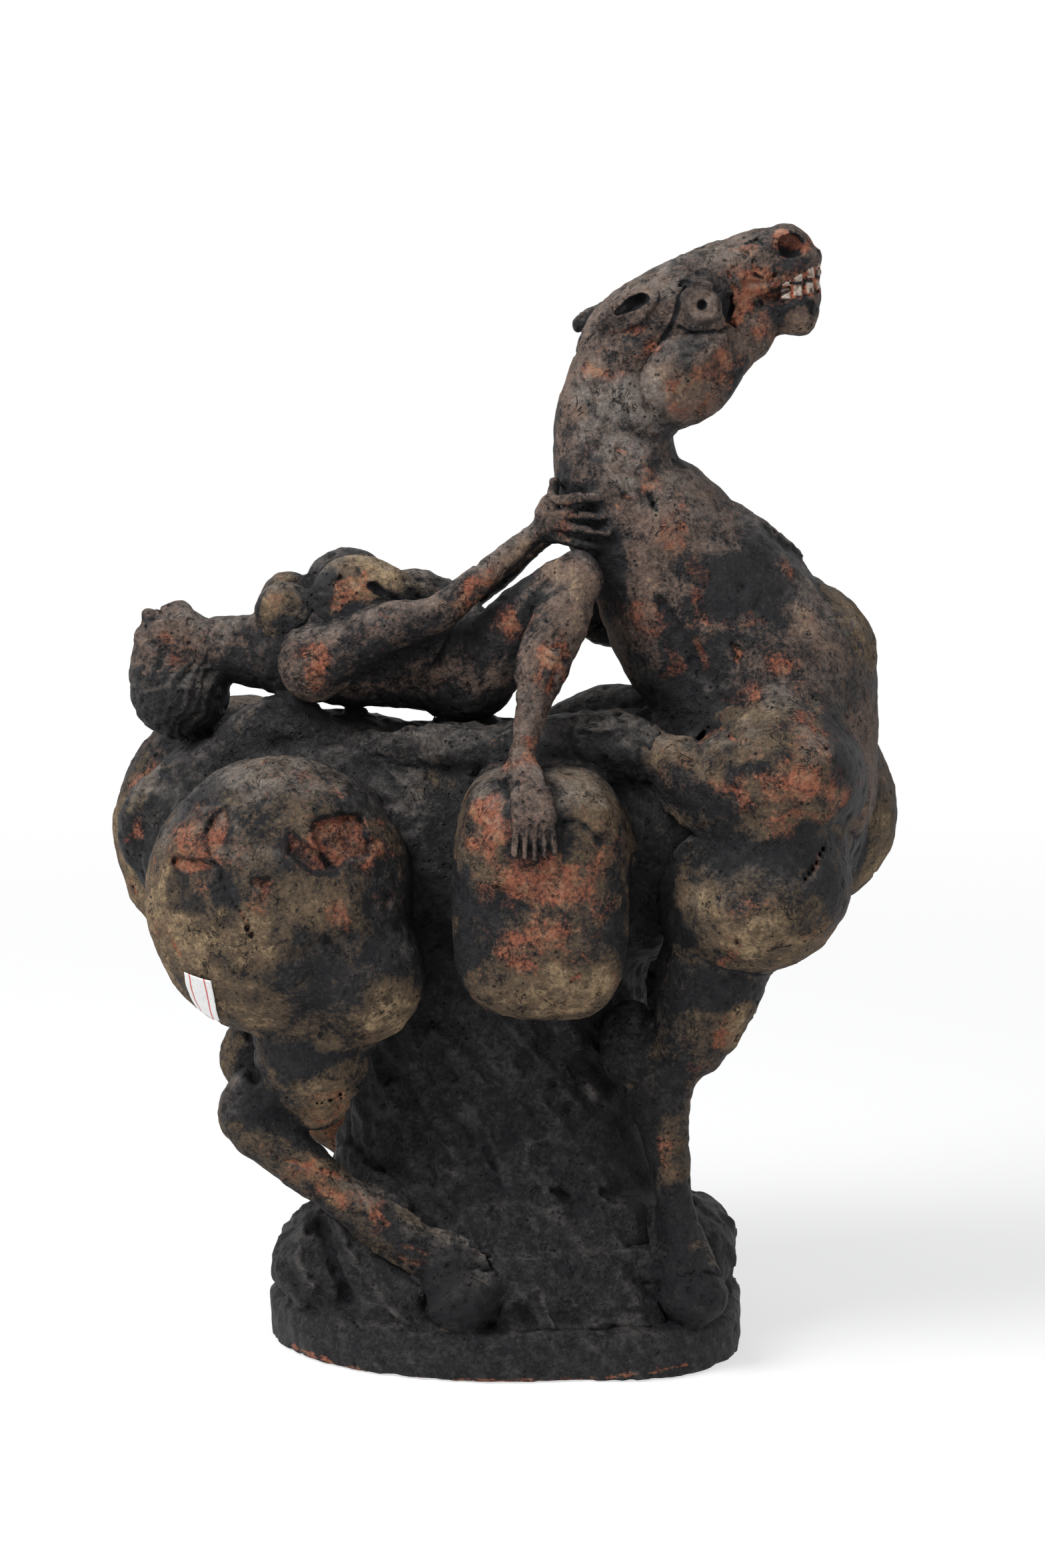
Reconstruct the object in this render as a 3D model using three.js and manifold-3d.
// A terracotta horse and rider on an oval stand, built from the lumps of clay the maker joined.
// Millimetres, +Z up. The origin is the centre of the underside, the horse's head points to +X
// and its near side, the one with the rider's visible arm and leg, faces -Y.
import * as THREE from 'three';
import { mergeVertices } from 'three/addons/utils/BufferGeometryUtils.js';
import Module from 'manifold-3d';

const wasm = await Module();
wasm.setup();

const at = (x, y, z) => new THREE.Vector3(x, y, z);
const opposite = (p, shift = at(0, 0, 0)) => at(p.x, -p.y, p.z).add(shift);

// Height of the whole sculpture, and the height at which the lengths below were measured:
// the proportions stay as they are, so every piece follows the height
const HEIGHT = 418;
const MEASURED_HEIGHT = 418;
const SCALE = HEIGHT / MEASURED_HEIGHT;

// The slip that joins two lumps is this thick at any height
const SLIP = 0.3 / SCALE;

// Stand
const SLAB_HALF_LENGTH = 90;
const SLAB_HALF_DEPTH = 68;
const SLAB_HEIGHT = 20;
const MOUND_TOP = 54;
const PILLAR_TOP = 142;
const WALL = 15;
const HOLLOW_TOP = 122;

// Where the near hooves stand: in from the slab's side, in from its end, and above its top
const HIND_HOOF_INSET = 13;
const FORE_HOOF_INSET = 18;
const FORE_HOOF_SETBACK = 20;
const HOOF_RISE = 8;

// Teeth: how many in a row, half the size of one, and the half-ellipse that they stand on
const TEETH = 9;
const TOOTH_HALF = 2.1;
const GUM_REACH = 10.2;
const GUM_HALF_WIDTH = 8.4;

// Half the thickness of a finger and of a toe, and how far the outer toes stand from the middle
const FINGER = 1.8;
const TOE = 1.6;
const TOE_SPREAD = 7;

// Facets: the longest side of a facet round a lump, the fewest and most facets in a ring, and
// the facets round a digit or a rim
const FACET = 16;
const FEWEST_SIDES = 8;
const MOST_SIDES = 14;
const FINE_SIDES = 6;

// Horse: points that lumps share, near side first
const RUMP = at(-110, 3, 193);
const LOIN = at(-64, 0, 188);
const BELLY = at(-28, 0, 186.5);
const GIRTH = at(32, 0, 189.5);
const BREAST = at(102, 1, 204);
const WITHERS = at(96, 0, 246);
const CREST = at(77.5, 0, 274);
const CHEST_LOBE = at(110, 5, 257);
const NAPE = at(43.5, 0, 320);
const THROAT = at(39.5, 0, 342);
const POLL = at(39, 0, 362);
const MUZZLE = at(104, 0, 408);
const NEAR_HAUNCH = at(-83, -44, 176.5);
const NEAR_STIFLE = at(-53, -50, 150);
const NEAR_ELBOW = at(48, -33, 119);
const NEAR_FLANK = at(13.5, -52, 180);
const NEAR_SHOULDER = at(97, -44, 221);
const NEAR_BRISKET = at(94, -42, 178);
const NEAR_GASKIN = at(-69, -43, 101);
const NEAR_HOCK = at(-92.5, -40, 94);
const NEAR_HIND_HOOF = at(-15.5, HIND_HOOF_INSET - SLAB_HALF_DEPTH, SLAB_HEIGHT + HOOF_RISE);
const NEAR_HIND_FETLOCK = NEAR_HIND_HOOF.clone().add(at(-7.5, 5, 13));
const NEAR_KNEE = at(56.5, -38, 103);
const NEAR_FORE_HOOF = at(
  SLAB_HALF_LENGTH - FORE_HOOF_SETBACK,
  FORE_HOOF_INSET - SLAB_HALF_DEPTH,
  SLAB_HEIGHT + HOOF_RISE,
);
const NEAR_FORE_FETLOCK = NEAR_FORE_HOOF.clone().add(at(-3, 6, 16));
const NEAR_CHEEK = at(68, -11, 362.5);
const NEAR_EYE = at(72, -17.5, 390.5);
const NEAR_LIDS = at(71.5, -16.5, 390.5);
const NEAR_NOSTRIL = at(105, -12, 411.3);
const FAR_HAUNCH_SHIFT = at(-21, 0, 10);
const FAR_HIND_SHIFT = at(-6, 0, 2);
const FAR_FORE_SHIFT = at(-7, 0, 0);

// Rider: points that lumps share
const CROWN = at(-121.5, 4, 246.5);
const FACE = at(-122.5, 4, 257.5);
const RIDER_NECK = at(-106, 3, 263);
const CHEST = at(-54, 0, 265);
const WAIST = at(-33, 0, 265.5);
const PELVIS = at(-14.5, 0, 253.5);
const NEAR_ARMPIT = at(-71, -24, 259);
const NEAR_WRIST = at(13, -17, 307);
const NEAR_HIP = at(-10, -12, 256);
const NEAR_RIDER_KNEE = at(28, -29, 293);
const NEAR_ANKLE = at(6.5, -62, 232);
const FAR_WRIST = at(13, 17, 302);
const FAR_RIDER_KNEE = at(27, 25, 285);
const FAR_ANKLE = at(54, 56, 234);

// Fired clay under worn black wash, as [colour, roughness]
const WASH = [0x2a292b, 0.9];
const WORN = [0x5d5347, 0.88];
const RED = [0x6b4034, 0.92];
const SKIN = [0x6e5a50, 0.9];
const TOOTH = [0xb9ad9b, 0.7];
const IRIS = [0x3a322e, 0.8];

// Value of an evenly spaced list part of the way along it, rounded off between its entries
function along(values, t) {
  const place = t * (values.length - 1);
  const first = Math.min(Math.floor(place), values.length - 2);
  const ease = THREE.MathUtils.smoothstep(place - first, 0, 1);
  return THREE.MathUtils.lerp(values[first], values[first + 1], ease);
}

function sides(radius, most = MOST_SIDES) {
  const wanted = Math.round((2 * Math.PI * radius) / FACET);
  return 2 * Math.round(Math.min(Math.max(wanted, FEWEST_SIDES), most) / 2);
}

function toSolid(geometry) {
  geometry.deleteAttribute('normal');
  geometry.deleteAttribute('uv');
  const merged = mergeVertices(geometry, 1e-4);
  return new wasm.Manifold(new wasm.Mesh({
    numProp: 3,
    vertProperties: merged.attributes.position.array,
    triVerts: new Uint32Array(merged.index.array),
  }));
}

// A roll of clay: a capsule bent along the points of its spine. across and side are its
// half-widths, evenly spaced along it: across lies in the X-Z plane where the roll runs
// lengthwise, and side is towards Y. tips stretches each rounded end.
function roll({ spine, across, side = across, tips = [0.9, 0.9], most }) {
  const path = new THREE.CatmullRomCurve3(spine, false, 'centripetal');
  const widest = Math.max(...across, ...side);
  const spans = spine.length - 1;
  const rings = spans * Math.max(1, Math.round(path.getLength() / spans / (1.4 * FACET)));
  const round = sides(widest, most);
  return (grow) => {
    const geometry = new THREE.CapsuleGeometry(1, 1, 2, round, rings);
    const place = geometry.attributes.position;
    for (let i = 0; i < place.count; i += 1) {
      const height = place.getY(i) + 0.5;
      const t = THREE.MathUtils.clamp(height, 0, 1);
      const beyond = height - t;
      const end = t < 0.5 ? 0 : 1;
      const width = along(across, t) + grow;
      const depth = along(side, t) + grow;
      const reach = Math.min(width, depth) * tips[end] + grow * (1 - tips[end]);
      const forward = path.getTangent(t);
      const sideways = at(0, 1, 0).addScaledVector(forward, -forward.y).normalize();
      const outward = sideways.clone().cross(forward);
      const point = path.getPoint(t)
        .addScaledVector(forward, beyond * reach)
        .addScaledVector(outward, -place.getX(i) * width)
        .addScaledVector(sideways, place.getZ(i) * depth);
      place.setXYZ(i, point.x, point.y, point.z);
    }
    return toSolid(geometry);
  };
}

// A ball of clay: an ellipsoid with half-sizes along its own axes, leaning by degrees about Y.
// A higher power than 2 makes it boxier.
function ball({ centre, half, lean = 0, power = 2 }) {
  const round = sides(Math.max(...half));
  return (grow) => {
    const geometry = new THREE.SphereGeometry(1, round, Math.max(6, Math.round(round * 0.55)));
    const place = geometry.attributes.position;
    for (let i = 0; i < place.count; i += 1) {
      const unit = at(place.getX(i), place.getY(i), place.getZ(i));
      const length = unit.toArray().reduce((sum, v) => sum + Math.abs(v) ** power, 0) ** (1 / power);
      unit.divideScalar(length);
      place.setXYZ(i, unit.x * (half[0] + grow), unit.y * (half[1] + grow), unit.z * (half[2] + grow));
    }
    geometry.rotateY(THREE.MathUtils.degToRad(lean));
    geometry.translate(centre.x, centre.y, centre.z);
    return toSolid(geometry);
  };
}

// A square block with half-sizes along X, Y and Z, turned about Z and then tipped about Y
function block({ centre, half, turn, tip }) {
  return (grow) => {
    const geometry = new THREE.BoxGeometry(...half.map((size) => 2 * (size + grow)));
    geometry.rotateZ(turn);
    geometry.rotateY(-tip);
    geometry.translate(centre.x, centre.y, centre.z);
    return toSolid(geometry);
  };
}

// A ring of clay round a point, facing the Y axis
function ring({ centre, radius, thickness }) {
  return (grow) => {
    const geometry = new THREE.TorusGeometry(radius, thickness + grow, FINE_SIDES, 9);
    geometry.rotateX(Math.PI / 2);
    geometry.translate(centre.x, centre.y, centre.z);
    return toSolid(geometry);
  };
}

// Several shapes pressed into one lump
function join(shapes) {
  return (grow) => shapes.map((shape) => shape(grow)).reduce((lump, next) => lump.add(next));
}

function toGeometry(solid) {
  const { vertProperties, triVerts } = solid.getMesh();
  const geometry = new THREE.BufferGeometry();
  geometry.setAttribute('position', new THREE.BufferAttribute(vertProperties, 3));
  geometry.setIndex(new THREE.BufferAttribute(triVerts, 1));
  geometry.computeVertexNormals();
  return geometry;
}

function largestPiece(solid) {
  const pieces = solid.decompose();
  return pieces.reduce((best, piece) => (piece.volume() > best.volume() ? piece : best));
}

// Pieces already on the sculpture, each with its own box and its shape grown by the slip
const placed = [];

// Adds a piece to a group, scooped out where it presses on the pieces placed before it
function lute(group, name, anchor, [color, roughness], shape, cut) {
  const grown = shape(SLIP);
  const box = new THREE.Box3().setFromArray(grown.getMesh().vertProperties);
  let solid = shape(0);
  for (const earlier of placed) {
    if (earlier.box.intersectsBox(box)) {
      solid = solid.subtract(earlier.grown);
    }
  }
  if (cut) {
    solid = solid.subtract(cut);
  }
  const geometry = toGeometry(largestPiece(solid));
  geometry.translate(-anchor.x, -anchor.y, -anchor.z);
  geometry.scale(SCALE, SCALE, SCALE);
  const material = new THREE.MeshStandardMaterial({ color, roughness, metalness: 0 });
  const mesh = new THREE.Mesh(geometry, material);
  mesh.name = name;
  mesh.position.copy(anchor).multiplyScalar(SCALE);
  group.add(mesh);
  placed.push({ box, grown });
}

// The stand is hollow and open underneath, as thick work is before it is fired
function buildStand(stand) {
  const foot = at(0, 0, 0);
  const slabTop = at(0, 0, SLAB_HEIGHT);
  const moundFoot = at(0, 0, SLAB_HEIGHT + SLIP);
  const hollow = roll({
    spine: [at(0, 0, -WALL), slabTop, at(-2, 2, MOUND_TOP), at(0, 3, HOLLOW_TOP - WALL)],
    across: [SLAB_HALF_LENGTH - 1.3 * WALL, SLAB_HALF_LENGTH - 1.7 * WALL, 54, 34],
    side: [SLAB_HALF_DEPTH - 1.3 * WALL, SLAB_HALF_DEPTH - 1.9 * WALL, 27, 18],
  })(0);
  const slab = roll({
    spine: [foot, at(0, 0, SLAB_HEIGHT / 2), slabTop],
    across: [SLAB_HALF_LENGTH - 1.5, SLAB_HALF_LENGTH, SLAB_HALF_LENGTH - 1],
    side: [SLAB_HALF_DEPTH - 1.5, SLAB_HALF_DEPTH, SLAB_HALF_DEPTH - 2],
    tips: [0, 0],
    most: 22,
  });
  const mound = roll({
    spine: [moundFoot, at(-1, 1, SLAB_HEIGHT + 14), at(-2, 2, MOUND_TOP)],
    across: [SLAB_HALF_LENGTH - 2, SLAB_HALF_LENGTH - 7, 72],
    side: [SLAB_HALF_DEPTH - 4, SLAB_HALF_DEPTH - 16, 42],
    tips: [0, 0.05],
    most: 16,
  });
  const pillar = roll({
    spine: [at(-3, 3, MOUND_TOP + SLIP), at(-3, 3, MOUND_TOP + 26), at(0, 3, PILLAR_TOP - 30),
      at(2, 2, PILLAR_TOP)],
    across: [71, 62, 56, 52],
    side: [41, 37, 36, 37],
    tips: [0, 0.2],
  });
  lute(stand, 'base_slab', foot, WASH, slab, hollow);
  lute(stand, 'ground_mound', moundFoot, WASH, mound, hollow);
  lute(stand, 'support_pillar', at(0, 3, PILLAR_TOP), WASH, pillar, hollow);
}

function buildTrunk(horse) {
  lute(horse, 'trunk', BELLY, WASH, roll({
    spine: [RUMP, LOIN, BELLY, GIRTH, BREAST],
    across: [37, 51, 47.5, 48.5, 42],
    side: [32, 44, 42, 42, 36],
  }));
  lute(horse, 'neck_base', WITHERS, WORN, roll({
    spine: [at(99, 0, 216), WITHERS, CREST],
    across: [41, 43, 39.5],
    side: [42, 42, 35],
    tips: [0.9, 0.5],
  }));
  lute(horse, 'chest_lobe', CHEST_LOBE, WORN, ball({
    centre: CHEST_LOBE,
    half: [30, 31, 31],
  }));
  lute(horse, 'tail', RUMP, WASH, roll({
    spine: [at(-64, -15, 229), at(-80, -13, 237), at(-93, -9, 230), at(-106, -8, 218.5),
      at(-120, -8, 211), at(-132, -5, 202), at(-135, -1, 190), at(-131, 4, 178)],
    across: [9, 11, 11, 11, 11, 11, 10, 8],
  }));
}

function buildQuarters(horse) {
  const quarters = [
    ['near', (p) => p.clone(), at(0, 0, 0)],
    ['far', (p) => opposite(p), FAR_HAUNCH_SHIFT],
  ];
  for (const [which, place, haunchShift] of quarters) {
    const haunch = place(NEAR_HAUNCH).add(haunchShift);
    const flank = place(NEAR_FLANK);
    lute(horse, `${which}_haunch`, haunch, RED, ball({ centre: haunch, half: [48.5, 36, 50.5] }));
    lute(horse, `${which}_flank`, flank, RED, ball({ centre: flank, half: [32, 29, 46], power: 3.2 }));
  }
}

function buildNearLobes(horse) {
  lute(horse, 'near_stifle', NEAR_STIFLE, WORN, ball({ centre: NEAR_STIFLE, half: [24.5, 26, 26.5] }));
  lute(horse, 'near_elbow', NEAR_ELBOW, WASH, ball({ centre: NEAR_ELBOW, half: [12, 14, 17] }));
}

function buildShoulders(horse) {
  const farShoulder = opposite(NEAR_SHOULDER, at(6, 0, 6));
  const farBrisket = at(112, 31, 194);
  lute(horse, 'near_shoulder_upper', NEAR_SHOULDER, RED, ball({
    centre: NEAR_SHOULDER,
    half: [31, 33, 25.5],
  }));
  lute(horse, 'near_shoulder_lower', NEAR_BRISKET, WORN, ball({
    centre: NEAR_BRISKET,
    half: [31, 36, 30],
  }));
  lute(horse, 'far_shoulder_upper', farShoulder, WORN, ball({ centre: farShoulder, half: [31, 33, 26] }));
  lute(horse, 'far_shoulder_lower', farBrisket, WORN, ball({ centre: farBrisket, half: [37, 38, 38] }));
  lute(horse, 'near_saddle_roll', GIRTH, WASH, roll({
    spine: [at(-50, -24, 230), at(-20, -28, 231), at(6, -33, 232), at(28, -36, 234), at(45, -34, 231)],
    across: [6, 7, 8, 9, 9],
    side: [7, 8, 9, 10, 9],
  }));
  lute(horse, 'far_saddle_roll', GIRTH, WASH, roll({
    spine: [at(6, 30, 225), at(22, 31, 230), at(38, 28, 236.5), at(51, 22, 238.5)],
    across: [6, 7.5, 8.5, 7],
    side: [8, 9, 10, 8],
  }));
}

// A row of square teeth side by side round the mouth, rising towards the lips
function teeth(back, rise) {
  const row = [];
  for (let i = 0; i < TEETH; i += 1) {
    const turn = Math.PI * (i / (TEETH - 1) - 0.5);
    const forward = GUM_REACH * Math.cos(turn);
    row.push(block({
      centre: back.clone().add(at(forward, GUM_HALF_WIDTH * Math.sin(turn), forward * Math.tan(rise))),
      half: [TOOTH_HALF, TOOTH_HALF, TOOTH_HALF],
      turn,
      tip: rise,
    }));
  }
  return join(row);
}

function buildHead(horse) {
  lute(horse, 'neck', NAPE, WORN, roll({
    spine: [CREST, at(58, 0, 300), NAPE, THROAT, POLL],
    across: [38, 32, 25, 22.5, 18.5],
    side: [35, 30, 24.5, 21, 19],
  }));
  const brow = roll({
    spine: [POLL, at(46, 0, 376.5), at(60, 0, 386.5), at(76, 0, 394.5), at(91, 0, 402), MUZZLE],
    across: [16.5, 18.5, 17.2, 16.2, 14, 10.6],
    side: [18, 20, 19, 16, 13, 12],
    tips: [0.9, 1.1],
  });
  const lids = [NEAR_LIDS, opposite(NEAR_LIDS)].map((centre) => ring({ centre, radius: 7.6, thickness: 2 }));
  const nostrils = [NEAR_NOSTRIL, opposite(NEAR_NOSTRIL)].map((centre) => ball({
    centre,
    half: [4.6, 5, 3.4],
    lean: -12,
  }));
  lute(horse, 'skull', POLL, WASH, join([brow, ...lids]), join(nostrils)(0));
  lute(horse, 'lower_jaw', MUZZLE, RED, roll({
    spine: [at(74, 0, 374), at(87, 0, 381), at(98, 0, 385.8), at(109, 0, 385.8)],
    across: [15, 12.4, 9, 7.8],
    side: [13, 11, 10, 9.5],
  }));
  lute(horse, 'upper_teeth', MUZZLE, TOOTH, teeth(at(103.8, 0, 398.5), 0.36));
  lute(horse, 'lower_teeth', MUZZLE, TOOTH, teeth(at(103.8, 0, 394), 0.3));
  for (const [which, place, earShift] of [
    ['near', (p) => p.clone(), at(0, 0, 0)],
    ['far', (p) => opposite(p), at(-9, -2, -2.5)],
  ]) {
    const cheek = place(NEAR_CHEEK);
    const eye = place(NEAR_EYE);
    const earRoot = place(at(50, -14.5, 392)).add(earShift);
    lute(horse, `${which}_cheek`, cheek, RED, ball({ centre: cheek, half: [17.5, 12, 15.5] }));
    const pupil = eye.clone().add(at(0, 4 * Math.sign(eye.y), 0));
    lute(horse, `${which}_eye`, eye, IRIS, ball({ centre: eye, half: [5.2, 4.2, 5.2] }),
      ball({ centre: pupil, half: [1.8, 3, 1.8] })(0));
    lute(horse, `${which}_ear`, earRoot, WASH, roll({
      spine: [earRoot, place(at(42, -18, 388.5)).add(earShift), place(at(34.5, -17.5, 383)).add(earShift)],
      across: [4, 4.4, 1.4],
      side: [3.5, 3.5, 1.6],
    }), ball({ centre: earRoot.clone().add(place(at(-3, -6.5, -0.5))), half: [7, 4, 2], lean: -30 })(0));
  }
}

function buildLegs(horse) {
  for (const [which, place, hindShift, foreShift] of [
    ['near', (p) => p.clone(), at(0, 0, 0), at(0, 0, 0)],
    ['far', (p) => opposite(p), FAR_HIND_SHIFT, FAR_FORE_SHIFT],
  ]) {
    const hind = (p) => place(p).add(hindShift);
    const fore = (p) => place(p).add(foreShift);
    lute(horse, `${which}_gaskin`, hind(NEAR_GASKIN), RED, roll({
      spine: [hind(at(-67, -42, 138)), hind(at(-70.5, -43, 118)), hind(NEAR_GASKIN)],
      across: [25, 21.5, 12.5],
    }));
    lute(horse, `${which}_hind_cannon`, hind(NEAR_HOCK), RED, roll({
      spine: [hind(at(-91, -40, 100)), hind(NEAR_HOCK), hind(at(-79, -42, 78)), hind(at(-57, -45, 61)),
        hind(at(-37, -48, 48)), hind(NEAR_HIND_FETLOCK)],
      across: [12.5, 13, 11, 8.8, 7, 7.5],
    }));
    lute(horse, `${which}_hind_hoof`, hind(NEAR_HIND_FETLOCK), WASH, roll({
      spine: [hind(NEAR_HIND_HOOF.clone().add(at(-4.5, 4, 10))), hind(NEAR_HIND_HOOF)],
      across: [9, 14],
    }));
    lute(horse, `${which}_forearm`, fore(NEAR_KNEE), WORN, roll({
      spine: [fore(at(76, -40, 147)), fore(at(73, -40, 129)), fore(at(63, -38, 110))],
      across: [20, 17, 12],
    }));
    lute(horse, `${which}_fore_cannon`, fore(NEAR_KNEE), WASH, roll({
      spine: [fore(NEAR_KNEE), fore(at(60, -40, 84)), fore(at(63, -42, 63)), fore(NEAR_FORE_FETLOCK)],
      across: [12.5, 8.5, 6.6, 8],
      side: [12, 9, 7.5, 8.5],
    }));
    lute(horse, `${which}_fore_hoof`, fore(NEAR_FORE_FETLOCK), WASH, roll({
      spine: [fore(NEAR_FORE_HOOF.clone().add(at(-1.5, 4, 10))), fore(NEAR_FORE_HOOF)],
      across: [9.5, 12.8],
    }));
  }
}

function buildRiderBody(rider) {
  lute(rider, 'rider_torso', CHEST, WASH, roll({
    spine: [RIDER_NECK, at(-91, 1, 261.5), at(-76, 0, 264), CHEST, WAIST, at(-18, 0, 260)],
    across: [11.5, 15.5, 20, 23, 23.5, 17.5],
    side: [11, 13, 19, 21, 18, 15],
  }));
  lute(rider, 'rider_pelvis', PELVIS, SKIN, ball({ centre: PELVIS, half: [19.5, 22, 17.8] }));
  lute(rider, 'rider_head', FACE, SKIN, ball({ centre: FACE, half: [17, 15, 20], lean: 12 }));
  lute(rider, 'rider_hair', CROWN, WASH, ball({ centre: CROWN, half: [18.5, 18.5, 18.5], lean: 10 }));
  for (const [which, near] of [['near', 1], ['far', -1]]) {
    const bosom = at(-81.5, -10 * near, near > 0 ? 279 : 282);
    const ribs = near > 0 ? at(-56.5, -10, 285) : at(-60, 10, 286.5);
    lute(rider, `rider_${which}_bosom`, bosom, SKIN, ball({ centre: bosom, half: [11, 10, 11.5] }));
    lute(rider, `rider_${which}_ribs`, ribs, SKIN, ball({ centre: ribs, half: [16, 13.5, 15] }));
  }
}

// A hand laid on the neck: four fingers, from the top one down, and a thumb
function hand(palm, fingertips, thumbTip) {
  const outwards = Math.sign(palm.y);
  const fingers = fingertips.map((tip, i) => {
    const knuckle = palm.clone().setZ(THREE.MathUtils.lerp(palm.z + 7, palm.z - 6, i / (fingertips.length - 1)));
    const middle = knuckle.clone().lerp(tip, 0.5).add(at(0, FINGER * outwards, 0));
    return roll({
      spine: [knuckle, middle, tip],
      across: [1.1 * FINGER, FINGER, 0.9 * FINGER],
      most: FINE_SIDES,
    });
  });
  const thumb = roll({ spine: [palm, thumbTip], across: [1.4 * FINGER, 1.1 * FINGER], most: FINE_SIDES });
  return join([ball({ centre: palm, half: [5.2, 3.6, 8.4] }), ...fingers, thumb]);
}

// A foot that hangs down, with five toes
function foot(ankle, instep, sole) {
  const outwards = Math.sign(sole.y);
  const toes = [-1, -0.5, 0, 0.5, 1].map((place) => {
    const root = sole.clone().add(at(0.8 * place * TOE_SPREAD, 0, 0));
    const tip = sole.clone().add(at(place * TOE_SPREAD, 2 * outwards, 1.5 * Math.abs(place) - 12.5));
    return roll({ spine: [root, tip], across: [TOE, TOE], most: FINE_SIDES });
  });
  const body = roll({ spine: [ankle, instep, sole], across: [5.5, 7.5, 8], side: [5, 5, 3.6] });
  return join([body, ...toes]);
}

function buildRiderArms(rider) {
  lute(rider, 'rider_near_arm', NEAR_ARMPIT, SKIN, roll({
    spine: [NEAR_ARMPIT, at(-55, -27, 267), at(-41, -29, 274.5), at(-26, -29, 277.5), at(-14, -28, 286),
      at(-2, -24.5, 295), NEAR_WRIST],
    across: [13.5, 9.8, 8.8, 7.2, 7.2, 6.2, 4.6],
    side: [12.5, 9, 8, 7, 7, 6, 4.6],
  }));
  lute(rider, 'rider_near_hand', NEAR_WRIST, SKIN, hand(
    at(16.5, -18, 312),
    [at(34, -24.5, 321), at(35.5, -24.5, 313.5), at(38, -26, 308), at(33.5, -22.5, 302.5)],
    at(18.5, -15, 326),
  ));
  lute(rider, 'rider_far_arm', FAR_WRIST, SKIN, roll({
    spine: [at(-70, 23, 257), at(-48, 28, 264), at(-26, 29, 271), at(-8, 27, 284), FAR_WRIST],
    across: [12, 9, 7, 6, 4.4],
  }));
  lute(rider, 'rider_far_hand', FAR_WRIST, SKIN, hand(
    at(16.5, 17, 309),
    [at(32, 23, 318), at(33.5, 24.5, 311.5), at(34.5, 24.5, 306), at(31.5, 22.5, 300.5)],
    at(18.5, 14, 323),
  ));
}

function buildRiderLegs(rider) {
  lute(rider, 'rider_near_thigh', NEAR_HIP, SKIN, roll({
    spine: [NEAR_HIP, at(6, -18, 268.5), at(19, -24.5, 284), NEAR_RIDER_KNEE],
    across: [14, 12.5, 9.6, 8.6],
    side: [13, 12, 9, 8],
  }));
  lute(rider, 'rider_near_shin', NEAR_RIDER_KNEE, SKIN, roll({
    spine: [at(28, -31, 291), at(20.5, -39, 277), at(14, -47, 263), at(10.5, -55, 248), NEAR_ANKLE],
    across: [7.6, 10.6, 9.8, 6, 4.5],
    side: [7, 9, 9, 6, 4.5],
  }));
  lute(rider, 'rider_near_foot', NEAR_ANKLE, SKIN, foot(at(6.5, -66, 229), at(9.5, -76, 220), at(11, -82, 211)));
  lute(rider, 'rider_far_thigh', PELVIS, SKIN, roll({
    spine: [opposite(NEAR_HIP), at(6, 17, 267), at(19, 22, 279), FAR_RIDER_KNEE],
    across: [14, 12, 9, 7.5],
  }));
  lute(rider, 'rider_far_shin', FAR_RIDER_KNEE, SKIN, roll({
    spine: [at(28, 27, 282), at(35, 32, 269.5), at(47, 41, 263), at(57, 50, 248), FAR_ANKLE],
    across: [7.5, 8, 6.8, 6.8, 4.5],
  }));
  lute(rider, 'rider_far_foot', FAR_ANKLE, SKIN, foot(at(53, 60, 230), at(48, 70, 221), at(45, 77, 212)));
}

const sculpture = new THREE.Group();
for (const build of [buildStand, buildTrunk, buildQuarters, buildNearLobes, buildShoulders,
  buildHead, buildLegs, buildRiderBody, buildRiderArms, buildRiderLegs]) {
  const group = new THREE.Group();
  build(group);
  sculpture.add(group);
}

export default sculpture;
